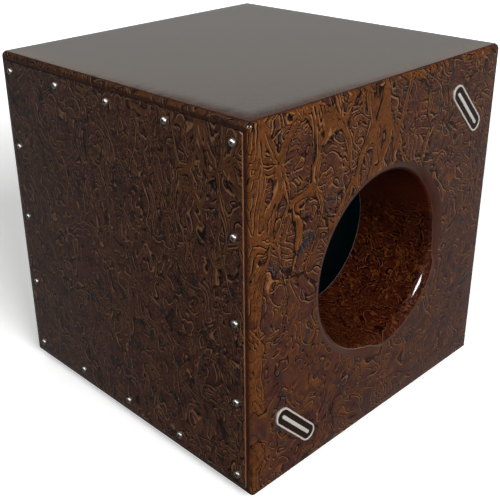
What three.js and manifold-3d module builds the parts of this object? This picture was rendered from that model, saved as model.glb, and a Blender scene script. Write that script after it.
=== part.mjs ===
// A cube-shaped cajon (box drum): a glued box of plywood boards, a thin screwed-on playing
// panel (the tapa) on the front, a round flared sound port in one side and fixed snares inside.
// Millimetres. +Z is up, the tapa looks along -Y, the sound port along +X, and the origin is
// on the floor under the middle of the box.
import * as THREE from "three";
import { RoundedBoxGeometry } from "three/addons/geometries/RoundedBoxGeometry.js";
import { mergeVertices } from "three/addons/utils/BufferGeometryUtils.js";
import Module from "manifold-3d";

// Box
const BODY = 400; // outer edge of the cube
const BOARD = 9; // thickness of every board
const EDGE_RADIUS = 5; // rounding of all outer edges and corners
const EDGE_STEPS = 3;

// Tapa and the battens that it is screwed to
const TAPA_THICKNESS = 3;
const TAPA_GAP = 0.4; // all round, between the tapa's edge and the boards
const TAPA_CORNER_RADIUS = 3.5;
const BATTEN_WIDTH = 24; // across the tapa's edge
const BATTEN_DEPTH = 18; // away from the tapa
const REAR_BATTEN = 15; // square section
const SCREWS_PER_SIDE = 5;
const SCREW_INSET = 21.3; // screw centres, in from the box's outer faces

// Sound port: a rolled lip, then a tapered horn
const LIP_RADIUS = 12;
const HORN_FRONT_RADIUS = 98; // inner, where the lip ends
const THROAT_RADIUS = 87.6; // inner, at the horn's far end
const HORN_DEPTH = 100; // from the outer face to the horn's far end
const HORN_WALL = 3;
const RING_RADIUS = 125; // reinforcing ring behind the side board
const RING_THICKNESS = 15;
const GLUE_LINE = 0.3; // between horn and ring
const PORT_STEPS = 48;
const LIP_STEPS = 4;

// Screws: an ST3.9 pan head with a cross recess
const HEAD_RADIUS = 3.75;
const HEAD_HEIGHT = 2.3;
const HEAD_RIM = 0.8; // height of the head's upright rim, below its dome
const HEAD_STEPS = 3;
const RECESS_REACH = 2.1; // half length of each arm of the cross recess
const RECESS_HALF_WIDTH = 0.45;
const RECESS_FLOOR = 0.9;
const SHANK_RADIUS = 1.65;
const TIP_LENGTH = 3;
const HOLE_RADIUS = 2.2;
const TAPA_SCREW_LENGTH = 16;
const FOOT_SCREW_LENGTH = 9;
const PLATE_SCREW_LENGTH = 12;
const BAR_SCREW_LENGTH = 26;
const SCREW_STEPS = 10;
const HOLE_STEPS = 8;

// Snares
const BAR_DEPTH = 16;
const BAR_HEIGHT = 22;
const BAR_LOW = 44; // the bar's underside, above the middle of the box
const SNARE_SPREAD = 75; // middle of each snare set, from the box's middle
const PLATE_WIDTH = 62;
const PLATE_HEIGHT = 20;
const PLATE_THICKNESS = 1.5;
const PLATE_SCREW_INSET = 6; // from the plate's short edges
const PLATE_SCREW_DROP = 3; // below the plate's middle
const STRAND_COUNT = 10;
const STRAND_PITCH = 5.6;
const STRAND_RADIUS = 0.9;
const STRAND_SIDES = 6;
const STRAND_LAP = 2.5; // soldered length on the plate
const STRAND_RISE = 96; // height of a strand's tip above its root
const STRAND_CLEARANCE = 0.4; // from a strand's tip to the tapa

// Feet
const FOOT_HEIGHT = 5;
const FOOT_RADIUS = 15;
const FOOT_EDGE = 1; // how far the foot draws in at the floor
const FOOT_INSET = 34; // foot centre, in from the box's outer faces
const FOOT_RECESS_RADIUS = 5;
const FOOT_RECESS_DEPTH = 2.8;
const FOOT_STEPS = 24;
const PILOT_DEPTH = 8; // blind hole in the base board

// Badges: plain round-ended metal plates with a sunk field and a bar along it, glued on the port side
const BADGE_LENGTH = 76;
const BADGE_WIDTH = 20;
const BADGE_THICKNESS = 1.5;
const BADGE_RIM = 2;
const BADGE_FIELD_DEPTH = 0.6;
const BADGE_BAR_LENGTH = 58;
const BADGE_BAR_WIDTH = 4;
const BADGE_STEPS = 12; // facets of each half round
const BADGE_OFFSET = [0.342 * BODY, 0.345 * BODY]; // along Y and Z, from the port's axis
const BADGE_TILT = THREE.MathUtils.degToRad(-46);

const HALF = BODY / 2;
const INNER = HALF - BOARD; // inner faces of the boards
const TAPA_BACK = -HALF + TAPA_THICKNESS;
const BATTEN_BACK = TAPA_BACK + BATTEN_DEPTH;
const BAR_BACK = BATTEN_BACK + BAR_DEPTH;
const BAR_MIDDLE = BAR_LOW + BAR_HEIGHT / 2;
const PLATE_FRONT = BATTEN_BACK - PLATE_THICKNESS;
const SCREW_REACH = HALF - SCREW_INSET;
const LIP_CENTRE_RADIUS = HORN_FRONT_RADIUS + LIP_RADIUS;
const HORN_FRONT = HALF - LIP_RADIUS; // x of the horn's front end
const HORN_END = HALF - HORN_DEPTH; // x of the throat
const RING_BACK = INNER - RING_THICKNESS;
const PAST = 1; // how far a cutter runs past the face it cuts

const wasm = await Module();
wasm.setup();

const FINISH = {
  wrap: { color: 0x4d2f1c, roughness: 0.25, metalness: 0 },
  horn: { color: 0x3f170b, roughness: 0.15, metalness: 0 },
  plywood: { color: 0x9c7a50, roughness: 0.7, metalness: 0 },
  steel: { color: 0xb9b9b6, roughness: 0.3, metalness: 1 },
  rubber: { color: 0x161616, roughness: 0.85, metalness: 0 },
  badge: { color: 0xc9c8c4, roughness: 0.25, metalness: 1 },
};

// A closed three.js geometry as a solid that can be joined and cut.
function solidOf(geometry) {
  const bare = geometry.clone();
  bare.deleteAttribute("normal");
  bare.deleteAttribute("uv");
  const merged = mergeVertices(bare);
  const vertProperties = merged.attributes.position.array;
  const triVerts = new Uint32Array(merged.index.array);
  return new wasm.Manifold(new wasm.Mesh({ numProp: 3, vertProperties, triVerts }));
}

// A joined or cut solid as a three.js geometry.
function geometryOf(solid) {
  const { vertProperties, triVerts } = solid.getMesh();
  const indexed = new THREE.BufferGeometry();
  indexed.setAttribute("position", new THREE.BufferAttribute(vertProperties, 3));
  indexed.setIndex(new THREE.BufferAttribute(triVerts, 1));
  const flat = indexed.toNonIndexed();
  flat.computeVertexNormals();
  return flat;
}

// A box between two opposite corners.
function block(low, high) {
  const size = high.map((value, axis) => value - low[axis]);
  const middle = high.map((value, axis) => (value + low[axis]) / 2);
  return new THREE.BoxGeometry(...size).translate(...middle);
}

// A round body turned about X from [radius, x] points, listed with x rising on the outside.
function turnedAboutX(profile, steps) {
  const points = profile.map(([radius, x]) => new THREE.Vector2(radius, x));
  return new THREE.LatheGeometry(points, steps).rotateZ(-Math.PI / 2);
}

// A cylinder along Y, from y to y + length.
function drill(x, y, z, length) {
  const bit = new THREE.CylinderGeometry(HOLE_RADIUS, HOLE_RADIUS, length, HOLE_STEPS);
  return solidOf(bit.translate(x, y + length / 2, z));
}

function piece(name, geometry, finish) {
  const mesh = new THREE.Mesh(geometry, new THREE.MeshStandardMaterial(FINISH[finish]));
  mesh.name = name;
  return mesh;
}

// ---- Boards: slices of one rounded cube ----

const cube = solidOf(new RoundedBoxGeometry(BODY, BODY, BODY, EDGE_STEPS, EDGE_RADIUS));

function slice(low, high) {
  return cube.intersect(solidOf(block(low, high)));
}

// Points of the lip's quarter round, from the outer face in to the horn, as [radius, x].
function lipArc(startDepth) {
  const start = Math.acos((LIP_RADIUS - startDepth) / LIP_RADIUS);
  return Array.from({ length: LIP_STEPS + 1 }, (_, step) => {
    const angle = start + ((Math.PI / 2 - start) * step) / LIP_STEPS;
    return [
      LIP_CENTRE_RADIUS - LIP_RADIUS * Math.sin(angle),
      HORN_FRONT + LIP_RADIUS * Math.cos(angle),
    ];
  });
}

function mouthCutter() {
  const profile = [
    [0, INNER - LIP_RADIUS],
    [HORN_FRONT_RADIUS, INNER - LIP_RADIUS],
    ...lipArc(0).reverse(),
    [LIP_CENTRE_RADIUS, HALF + PAST],
    [0, HALF + PAST],
  ];
  return solidOf(turnedAboutX(profile, PORT_STEPS));
}

function seatBoard() {
  return piece("seat_board", geometryOf(slice([-HALF, -HALF, INNER], [HALF, HALF, HALF])), "wrap");
}

function footPlaces() {
  const reach = HALF - FOOT_INSET;
  return [
    ["front_left", -reach, -reach],
    ["front_right", reach, -reach],
    ["rear_left", -reach, reach],
    ["rear_right", reach, reach],
  ];
}

function baseBoard() {
  let board = slice([-HALF, -HALF, -HALF], [HALF, HALF, -INNER]);
  for (const [, x, y] of footPlaces()) {
    const length = PILOT_DEPTH + PAST;
    const pilot = new THREE.CylinderGeometry(HOLE_RADIUS, HOLE_RADIUS, length, HOLE_STEPS);
    pilot.rotateX(Math.PI / 2).translate(x, y, -HALF - PAST + length / 2);
    board = board.subtract(solidOf(pilot));
  }
  return piece("base_board", geometryOf(board), "wrap");
}

function leftSideBoard() {
  const board = slice([-HALF, -HALF, -INNER], [-INNER, HALF, INNER]);
  return piece("left_side_board", geometryOf(board), "wrap");
}

function portSideBoard() {
  const board = slice([INNER, -HALF, -INNER], [HALF, HALF, INNER]).subtract(mouthCutter());
  return piece("port_side_board", geometryOf(board), "wrap");
}

function rearBoard() {
  return piece("rear_board", block([-INNER, INNER, -INNER], [INNER, HALF, INNER]), "wrap");
}

// ---- Sound port ----

function portRing() {
  const lip = lipArc(BOARD);
  const seat = HORN_FRONT_RADIUS + HORN_WALL + GLUE_LINE;
  const profile = [
    ...lip.reverse(),
    [RING_RADIUS, INNER],
    [RING_RADIUS, RING_BACK],
    [seat, RING_BACK],
    [seat, HORN_FRONT],
  ];
  profile.push(profile[0]);
  return piece("port_reinforcing_ring", turnedAboutX(profile.reverse(), PORT_STEPS), "plywood");
}

// The tapered tube, glued into the ring's rebate.
function portHorn() {
  const front = HORN_FRONT - GLUE_LINE;
  const taper = (HORN_FRONT_RADIUS - THROAT_RADIUS) / (HORN_FRONT - HORN_END);
  const outerAtRing = HORN_FRONT_RADIUS + HORN_WALL - taper * (HORN_FRONT - RING_BACK);
  const profile = [
    [THROAT_RADIUS, HORN_END],
    [THROAT_RADIUS + HORN_WALL, HORN_END],
    [outerAtRing, RING_BACK],
    [HORN_FRONT_RADIUS + HORN_WALL, RING_BACK],
    [HORN_FRONT_RADIUS + HORN_WALL, front],
    [HORN_FRONT_RADIUS, front],
    [THROAT_RADIUS, HORN_END],
  ];
  return piece("port_horn", turnedAboutX(profile, PORT_STEPS), "horn");
}

// ---- Tapa, battens and screws ----

// Screw centres round the tapa, as [x, z], clockwise from the top left.
function tapaScrewPlaces() {
  const gaps = SCREWS_PER_SIDE - 1;
  const pitch = (2 * SCREW_REACH) / gaps;
  const along = Array.from({ length: gaps }, (_, step) => -SCREW_REACH + step * pitch);
  return [
    ...along.map((s) => [s, SCREW_REACH]),
    ...along.map((s) => [SCREW_REACH, -s]),
    ...along.map((s) => [-s, -SCREW_REACH]),
    ...along.map((s) => [-SCREW_REACH, s]),
  ];
}

function roundedSquare(half, radius) {
  const shape = new THREE.Shape();
  const centre = half - radius;
  const corners = [[1, 1], [-1, 1], [-1, -1], [1, -1]];
  corners.forEach(([x, y], turn) => {
    const start = (turn * Math.PI) / 2;
    shape.absarc(x * centre, y * centre, radius, start, start + Math.PI / 2, false);
  });
  return shape;
}

function frontTapa() {
  const shape = roundedSquare(INNER - TAPA_GAP, TAPA_CORNER_RADIUS);
  shape.holes = tapaScrewPlaces().map(([x, z]) =>
    new THREE.Path().absarc(x, z, HOLE_RADIUS, 0, 2 * Math.PI, true),
  );
  const options = { depth: TAPA_THICKNESS, bevelEnabled: false, curveSegments: HOLE_STEPS };
  const panel = new THREE.ExtrudeGeometry(shape, options);
  return piece("front_tapa", panel.rotateX(Math.PI / 2).translate(0, TAPA_BACK, 0), "wrap");
}

// A batten behind the tapa, with a blind hole for each tapa screw that it takes.
function drilledBatten(lowX, lowZ, highX, highZ) {
  let batten = solidOf(block([lowX, TAPA_BACK, lowZ], [highX, BATTEN_BACK, highZ]));
  for (const [x, z] of tapaScrewPlaces()) {
    const inside = x > lowX && x < highX && z > lowZ && z < highZ;
    if (inside) batten = batten.subtract(drill(x, TAPA_BACK - PAST, z, TAPA_SCREW_LENGTH));
  }
  return batten;
}

function frontBattens() {
  const edge = INNER - BATTEN_WIDTH;
  const depth = BAR_SCREW_LENGTH - BAR_DEPTH + PAST;
  const sides = [
    ["left_front_batten", -INNER, -edge],
    ["port_side_front_batten", edge, INNER],
  ].map(([name, low, high]) => {
    const plain = drilledBatten(low, -edge, high, edge);
    const hole = drill((low + high) / 2, BATTEN_BACK - depth, BAR_MIDDLE, depth + PAST);
    return piece(name, geometryOf(plain.subtract(hole)), "plywood");
  });
  const levels = [
    ["top_front_batten", edge, INNER],
    ["bottom_front_batten", -INNER, -edge],
  ].map(([name, low, high]) => {
    return piece(name, geometryOf(drilledBatten(-INNER, low, INNER, high)), "plywood");
  });
  return [...levels, ...sides];
}

function rearBattens() {
  const front = INNER - REAR_BATTEN;
  return [
    ["top_rear_batten", [-INNER, front, front], [INNER, INNER, INNER]],
    ["bottom_rear_batten", [-INNER, front, -INNER], [INNER, INNER, -front]],
    ["left_rear_batten", [-INNER, front, -front], [-front, INNER, front]],
    ["port_side_rear_batten", [front, front, -front], [INNER, INNER, front]],
  ].map(([name, low, high]) => piece(name, block(low, high), "plywood"));
}

// A pan-head screw along Y: the head stands on y = 0 and the shank runs down from it.
function screwGeometry(length) {
  const profile = [
    [0, -length],
    [SHANK_RADIUS, TIP_LENGTH - length],
    [SHANK_RADIUS, 0],
    [HEAD_RADIUS, 0],
  ];
  for (let step = 0; step <= HEAD_STEPS; step += 1) {
    const angle = (step / HEAD_STEPS) * (Math.PI / 2);
    const rise = HEAD_RIM + (HEAD_HEIGHT - HEAD_RIM) * Math.sin(angle);
    profile.push([step === HEAD_STEPS ? 0 : HEAD_RADIUS * Math.cos(angle) ** 0.6, rise]);
  }
  const points = profile.map(([radius, y]) => new THREE.Vector2(radius, y));
  let screw = solidOf(new THREE.LatheGeometry(points, SCREW_STEPS));
  const arms = [
    [RECESS_REACH, RECESS_HALF_WIDTH],
    [RECESS_HALF_WIDTH, RECESS_REACH],
  ];
  for (const [x, z] of arms) {
    const arm = block([-x, RECESS_FLOOR, -z], [x, HEAD_HEIGHT + PAST, z]);
    screw = screw.subtract(solidOf(arm));
  }
  return geometryOf(screw);
}

// Places a screw whose head looks along -Y, +Y or -Z.
function screw(name, geometry, x, y, z, looks) {
  const mesh = piece(name, geometry, "steel");
  mesh.position.set(x, y, z);
  mesh.rotation.x = { "-Y": Math.PI, "+Y": 0, "-Z": -Math.PI / 2 }[looks];
  return mesh;
}

function tapaScrews() {
  const geometry = screwGeometry(TAPA_SCREW_LENGTH);
  return tapaScrewPlaces().map(([x, z], index) => {
    const number = String(index + 1).padStart(2, "0");
    return screw(`tapa_screw_${number}`, geometry, x, -HALF, z, "-Y");
  });
}

// ---- Snares ----

function plateScrewPlaces() {
  const reach = PLATE_WIDTH / 2 - PLATE_SCREW_INSET;
  const z = BAR_MIDDLE - PLATE_SCREW_DROP;
  return [-1, 1].flatMap((side) =>
    [-reach, reach].map((x) => [side * SNARE_SPREAD + x, z]),
  );
}

function barScrewPlaces() {
  const reach = INNER - BATTEN_WIDTH / 2;
  return [-reach, reach];
}

function snareBar() {
  const low = [-INNER, BATTEN_BACK, BAR_LOW];
  let bar = solidOf(block(low, [INNER, BAR_BACK, BAR_LOW + BAR_HEIGHT]));
  const start = BATTEN_BACK - PAST;
  for (const [x, z] of plateScrewPlaces())
    bar = bar.subtract(drill(x, start, z, PLATE_SCREW_LENGTH + PAST));
  for (const x of barScrewPlaces())
    bar = bar.subtract(drill(x, start, BAR_MIDDLE, BAR_DEPTH + 2 * PAST));
  return piece("snare_bar", geometryOf(bar), "plywood");
}

function snarePlate(middle) {
  const low = [middle - PLATE_WIDTH / 2, PLATE_FRONT, BAR_MIDDLE - PLATE_HEIGHT / 2];
  const high = [middle + PLATE_WIDTH / 2, BATTEN_BACK, BAR_MIDDLE + PLATE_HEIGHT / 2];
  let plate = solidOf(block(low, high));
  for (const [x, z] of plateScrewPlaces())
    plate = plate.subtract(drill(x, PLATE_FRONT - PAST, z, PLATE_THICKNESS + 2 * PAST));
  return plate;
}

// One strand in the middle of the box, from its lap on the plate forward and up to the tapa.
function snareStrand() {
  const rootZ = BAR_MIDDLE + PLATE_HEIGHT / 2 - STRAND_LAP;
  const root = new THREE.Vector3(0, PLATE_FRONT, rootZ);
  const tip = new THREE.Vector3(0, TAPA_BACK + STRAND_RADIUS + STRAND_CLEARANCE, rootZ + STRAND_RISE);
  const lean = Math.atan2(root.y - tip.y, tip.z - root.z);
  const middle = root.clone().lerp(tip, 0.5);
  return new THREE.CylinderGeometry(STRAND_RADIUS, STRAND_RADIUS, root.distanceTo(tip), STRAND_SIDES)
    .rotateX(Math.PI / 2 + lean)
    .translate(0, middle.y, middle.z);
}

// A snare set: the end plate with its strands soldered on.
function snareSet(name, middle) {
  let set = snarePlate(middle);
  for (let index = 0; index < STRAND_COUNT; index += 1) {
    const offset = (index - (STRAND_COUNT - 1) / 2) * STRAND_PITCH;
    set = set.add(solidOf(snareStrand().translate(middle + offset, 0, 0)));
  }
  return piece(name, geometryOf(set), "steel");
}

function snareScrews() {
  const plateScrew = screwGeometry(PLATE_SCREW_LENGTH);
  const barScrew = screwGeometry(BAR_SCREW_LENGTH);
  const sides = ["left", "right"];
  return [
    ...plateScrewPlaces().map(([x, z], index) =>
      screw(`snare_plate_screw_${index + 1}`, plateScrew, x, PLATE_FRONT, z, "-Y"),
    ),
    ...barScrewPlaces().map((x, index) =>
      screw(`snare_bar_screw_${sides[index]}`, barScrew, x, BAR_BACK, BAR_MIDDLE, "+Y"),
    ),
  ];
}

// ---- Feet ----

function footGeometry() {
  const profile = [
    [HOLE_RADIUS, FOOT_HEIGHT],
    [HOLE_RADIUS, FOOT_RECESS_DEPTH],
    [FOOT_RECESS_RADIUS, FOOT_RECESS_DEPTH],
    [FOOT_RECESS_RADIUS, 0],
    [FOOT_RADIUS - FOOT_EDGE, 0],
    [FOOT_RADIUS, FOOT_EDGE],
    [FOOT_RADIUS, FOOT_HEIGHT],
    [HOLE_RADIUS, FOOT_HEIGHT],
  ];
  const points = profile.map(([radius, y]) => new THREE.Vector2(radius, y));
  return new THREE.LatheGeometry(points, FOOT_STEPS).rotateX(Math.PI / 2);
}

function feet() {
  const rubber = footGeometry();
  const fastener = screwGeometry(FOOT_SCREW_LENGTH);
  return footPlaces().flatMap(([place, x, y]) => {
    const foot = piece(`foot_${place}`, rubber, "rubber");
    foot.position.set(x, y, -HALF - FOOT_HEIGHT);
    const headSeat = -HALF - FOOT_HEIGHT + FOOT_RECESS_DEPTH;
    return [foot, screw(`foot_screw_${place}`, fastener, x, y, headSeat, "-Z")];
  });
}

// ---- Badges ----

// A round-ended bar along X, from height low to height high.
function pill(length, width, low, high) {
  const radius = width / 2;
  const half = length / 2 - radius;
  const shape = new THREE.Shape();
  shape.absarc(half, 0, radius, -Math.PI / 2, Math.PI / 2, false);
  shape.absarc(-half, 0, radius, Math.PI / 2, (3 * Math.PI) / 2, false);
  const options = { depth: high - low, bevelEnabled: false, curveSegments: BADGE_STEPS };
  return solidOf(new THREE.ExtrudeGeometry(shape, options).translate(0, 0, low));
}

function badge(name, side) {
  const floor = BADGE_THICKNESS - BADGE_FIELD_DEPTH;
  const inset = 2 * BADGE_RIM;
  const field = pill(BADGE_LENGTH - inset, BADGE_WIDTH - inset, floor, BADGE_THICKNESS + PAST);
  const bar = pill(BADGE_BAR_LENGTH, BADGE_BAR_WIDTH, floor - PAST, BADGE_THICKNESS + 2 * PAST);
  const plate = pill(BADGE_LENGTH, BADGE_WIDTH, 0, BADGE_THICKNESS).subtract(field.subtract(bar));
  const turned = geometryOf(plate).rotateZ(BADGE_TILT).rotateX(Math.PI / 2).rotateZ(Math.PI / 2);
  const mesh = piece(name, turned, "badge");
  mesh.position.set(HALF, side * BADGE_OFFSET[0], side * BADGE_OFFSET[1]);
  return mesh;
}

const body = new THREE.Group();
body.position.z = FOOT_HEIGHT + HALF;
body.add(
  seatBoard(),
  baseBoard(),
  leftSideBoard(),
  portSideBoard(),
  rearBoard(),
  portRing(),
  portHorn(),
  frontTapa(),
  ...frontBattens(),
  ...rearBattens(),
  ...tapaScrews(),
  snareBar(),
  snareSet("snare_set_left", -SNARE_SPREAD),
  snareSet("snare_set_right", SNARE_SPREAD),
  ...snareScrews(),
  ...feet(),
  badge("badge_upper", 1),
  badge("badge_lower", -1),
);

const cajon = new THREE.Group();
cajon.name = "cajon";
cajon.add(body);

export default cajon;
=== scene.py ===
"""Looks for a cube-shaped cajon: a lacquered box drum with a leaf-collage finish and a round side port.

Metres, in the CAD frame: +Z up, the playing panel (tapa) looks along -Y and the port along +X.
"""
import math
import random

import bmesh
import bpy
from mathutils import Matrix, Vector


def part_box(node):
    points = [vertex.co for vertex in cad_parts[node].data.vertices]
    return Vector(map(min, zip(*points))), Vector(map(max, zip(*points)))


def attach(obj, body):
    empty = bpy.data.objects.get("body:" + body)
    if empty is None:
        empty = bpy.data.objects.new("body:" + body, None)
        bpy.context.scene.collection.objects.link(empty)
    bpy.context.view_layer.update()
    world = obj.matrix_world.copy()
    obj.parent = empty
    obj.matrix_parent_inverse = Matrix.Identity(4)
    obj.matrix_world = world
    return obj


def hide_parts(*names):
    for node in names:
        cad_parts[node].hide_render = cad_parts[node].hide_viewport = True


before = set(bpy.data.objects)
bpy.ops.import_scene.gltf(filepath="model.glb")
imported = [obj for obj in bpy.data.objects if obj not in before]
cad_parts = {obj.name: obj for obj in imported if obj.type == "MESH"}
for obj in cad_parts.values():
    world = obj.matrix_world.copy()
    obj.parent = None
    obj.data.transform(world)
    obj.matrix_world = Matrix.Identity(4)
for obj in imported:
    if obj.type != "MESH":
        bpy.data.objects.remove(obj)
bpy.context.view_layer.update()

# ---- Sizes taken from the frame ----
MM = 0.001
seat_low, seat_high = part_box("seat_board")
base_low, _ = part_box("base_board")
tapa_low, tapa_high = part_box("front_tapa")
horn_low, horn_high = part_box("port_horn")
ring_low, ring_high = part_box("port_reinforcing_ring")
HALF = seat_high.x
BODY = 2 * HALF
BOARD = seat_high.z - seat_low.z
INNER = HALF - BOARD
FLOOR_GAP = base_low.z
MIDDLE = Vector((0, 0, FLOOR_GAP + HALF))
THROAT_X = horn_low.x
HORN_FRONT_X = horn_high.x
RING_BACK_X = ring_low.x
RING_RADIUS = (ring_high.z - ring_low.z) / 2
HORN_OUTER = (horn_high.z - horn_low.z) / 2

# ---- Sizes of the finish ----
EDGE_RADIUS = 5 * MM
EDGE_STEPS = 8
FALL_REACH = 28 * MM  # how far from an edge the sanding starts
FALL_DEPTH = 1.6 * MM
FALL_SLICES = (0.2, 0.28, 0.38, 0.5, 0.65, 0.82, 1.0)  # where faces are cut for it, as shares of its reach
HORN_WALL = 3 * MM
HORN_RADIUS = HORN_OUTER - HORN_WALL
THROAT_RADIUS = 87.6 * MM
LIP_RADIUS = 12 * MM
LIP_STEPS = 20
MOUTH_RADIUS = HORN_RADIUS + LIP_RADIUS
ROUND_STEPS = 160
SLACK = 0.4 * MM  # keeps surfaces that meet from coinciding
SHARP_ANGLE = math.radians(32)

random.seed(11)


# ---- Node helper ----

class Nodes:
    """Builds a node tree. Each method adds a node, wires or sets its inputs and returns an output."""

    def __init__(self, tree):
        self.tree = tree

    def add(self, kind, output=0, inputs=None, **settings):
        node = self.tree.nodes.new(kind)
        for key, value in settings.items():
            setattr(node, key, value)
        for key, value in (inputs or {}).items():
            self.feed(node.inputs[key], value)
        return node.outputs[output]

    def feed(self, socket, value):
        if isinstance(value, bpy.types.NodeSocket):
            self.tree.links.new(value, socket)
        else:
            socket.default_value = value

    def point(self):
        """The surface point. Every piece is built in place, so this is the frame's point."""
        return self.add("ShaderNodeTexCoord", "Object")

    def math(self, operation, a, b=0.0, c=0.0):
        return self.add("ShaderNodeMath", inputs={0: a, 1: b, 2: c}, operation=operation)

    def vector(self, operation, a, b):
        return self.add("ShaderNodeVectorMath", inputs={0: a, 1: b}, operation=operation)

    def scaled(self, vector, factor):
        return self.add("ShaderNodeVectorMath", inputs={0: vector, "Scale": factor}, operation="SCALE")

    def parts(self, vector):
        node = self.tree.nodes.new("ShaderNodeSeparateXYZ")
        self.feed(node.inputs[0], vector)
        return node.outputs

    def noise(self, point, size, detail=2.0, roughness=0.5, distortion=0.0, output="Fac"):
        inputs = {"Vector": point, "Scale": 1 / size, "Detail": detail, "Roughness": roughness,
                  "Distortion": distortion}
        return self.add("ShaderNodeTexNoise", output, inputs)

    def edges(self, point, size):
        """Distance to the nearest border between random cells, in cells."""
        inputs = {"Vector": point, "Scale": 1 / size}
        return self.add("ShaderNodeTexVoronoi", "Distance", inputs, feature="DISTANCE_TO_EDGE")

    def warped(self, point, size, reach, detail=1.0):
        shift = self.vector("SUBTRACT", self.noise(point, size, detail, output="Color"), (0.5, 0.5, 0.5))
        return self.vector("ADD", point, self.scaled(shift, 2 * reach))

    def step(self, value, low, high, to_low=0.0, to_high=1.0):
        inputs = {"Value": value, "From Min": low, "From Max": high, "To Min": to_low, "To Max": to_high}
        return self.add("ShaderNodeMapRange", inputs=inputs, interpolation_type="SMOOTHSTEP")

    def inverse(self, share):
        return self.math("SUBTRACT", 1.0, share)

    def groove(self, band, width, floor=0.0):
        """1 across a band, falling to floor along its middle."""
        return self.step(self.math("ABSOLUTE", self.math("SUBTRACT", band, 0.5)), 0.0, width, floor, 1.0)

    def mix(self, factor, a, b):
        return self.add("ShaderNodeMix", 2, {0: factor, 6: a, 7: b}, data_type="RGBA")

    def ramp(self, value, stops):
        node = self.tree.nodes.new("ShaderNodeValToRGB")
        self.feed(node.inputs[0], value)
        ramp = node.color_ramp
        while len(ramp.elements) < len(stops):
            ramp.elements.new(0.5)
        for element, (position, colour) in zip(ramp.elements, stops):
            element.position = position
            element.color = colour
        return node.outputs[0]


def srgb(red, green, blue):
    """A linear colour from 0-255 display values."""
    values = (c / 255 for c in (red, green, blue))
    return (*(c / 12.92 if c <= 0.04045 else ((c + 0.055) / 1.055) ** 2.4 for c in values), 1.0)


def new_material(name):
    material = bpy.data.materials.new(name)
    material.use_nodes = True
    tree = material.node_tree
    shader = tree.nodes["Principled BSDF"]
    return material, Nodes(tree), shader


def bump(n, height, distance, strength):
    inputs = {"Height": height, "Distance": distance, "Strength": strength}
    return n.add("ShaderNodeBump", "Normal", inputs)


# ---- Distances ----

def edge_distance(n, point):
    """Distance from a surface point to the nearest edge of the box."""
    centred = n.vector("SUBTRACT", point, tuple(MIDDLE))
    x, y, z = (n.math("SUBTRACT", HALF, n.math("ABSOLUTE", part)) for part in n.parts(centred))
    low = n.math("MINIMUM", x, y)
    high = n.math("MAXIMUM", x, y)
    return n.math("MAXIMUM", low, n.math("MINIMUM", high, z))


def hypotenuse(n, a, b):
    return n.math("SQRT", n.math("ADD", n.math("MULTIPLY", a, a), n.math("MULTIPLY", b, b)))


def by_height(n, point, low, high, to_low, to_high):
    """A value that goes from to_low to to_high between two heights, given as shares of the box."""
    return n.step(n.parts(point)[2], low * BODY, high * BODY, to_low, to_high)


# ---- The leaf collage ----
# Broad amber straps cross a dark ground that is crumpled into curls, with fine dark crease lines; the ridges
# get a painted highlight on one side and painted shade on the other.

AMBER = [
    (0.30, srgb(70, 38, 20)),
    (0.50, srgb(102, 58, 26)),
    (0.62, srgb(82, 48, 24)),
    (0.80, srgb(112, 62, 29)),
]
GROUND = [
    (0.00, srgb(52, 26, 23)),
    (0.40, srgb(63, 33, 28)),
    (0.52, srgb(78, 45, 28)),
    (0.62, srgb(61, 34, 29)),
    (1.00, srgb(57, 29, 27)),
]
TAPA_AMBER = [
    (0.30, srgb(90, 54, 38)),
    (0.50, srgb(120, 73, 44)),
    (0.62, srgb(104, 66, 42)),
    (0.80, srgb(128, 73, 47)),
]
TAPA_GROUND = [
    (0.00, srgb(72, 39, 36)),
    (0.40, srgb(84, 45, 39)),
    (0.52, srgb(98, 58, 42)),
    (0.62, srgb(82, 45, 39)),
    (1.00, srgb(74, 39, 37)),
]
SLATE = srgb(44, 38, 40)
CREASE = srgb(16, 8, 7)
# Painted highlight on the ridges' lit sides, on the boards and on the tapa.
RIDGE_HIGHLIGHT = srgb(150, 106, 66)
TAPA_RIDGE_HIGHLIGHT = srgb(170, 122, 84)
FLECK = srgb(150, 126, 108)
# Painted shade that darkens the seat's top.
SEAT_PAINTED_SHADE = srgb(34, 20, 15)
# Painted highlight along the lip's edge.
LIP_EDGE_HIGHLIGHT = srgb(130, 116, 94)
# Painted highlight on the tapa's eased edge at the port's side.
TAPA_EDGE_HIGHLIGHT = srgb(134, 90, 62)

HORN_FLAKE = [
    (0.36, srgb(44, 14, 8)),
    (0.48, srgb(62, 24, 10)),
    (0.60, srgb(50, 17, 8)),
    (0.66, srgb(90, 46, 15)),
]
HORN_CREASE = srgb(26, 8, 5)
# Painted highlight and painted shade on the flakes' ridges.
HORN_RIDGE_HIGHLIGHT = srgb(120, 66, 34)
HORN_SHADE = srgb(14, 4, 3)
EDGE_DARK = srgb(44, 16, 9)
EDGE_LIGHT = srgb(76, 34, 14)
LIP_DARK = srgb(56, 33, 26)
LIP_LIGHT = srgb(74, 46, 37)

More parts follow.
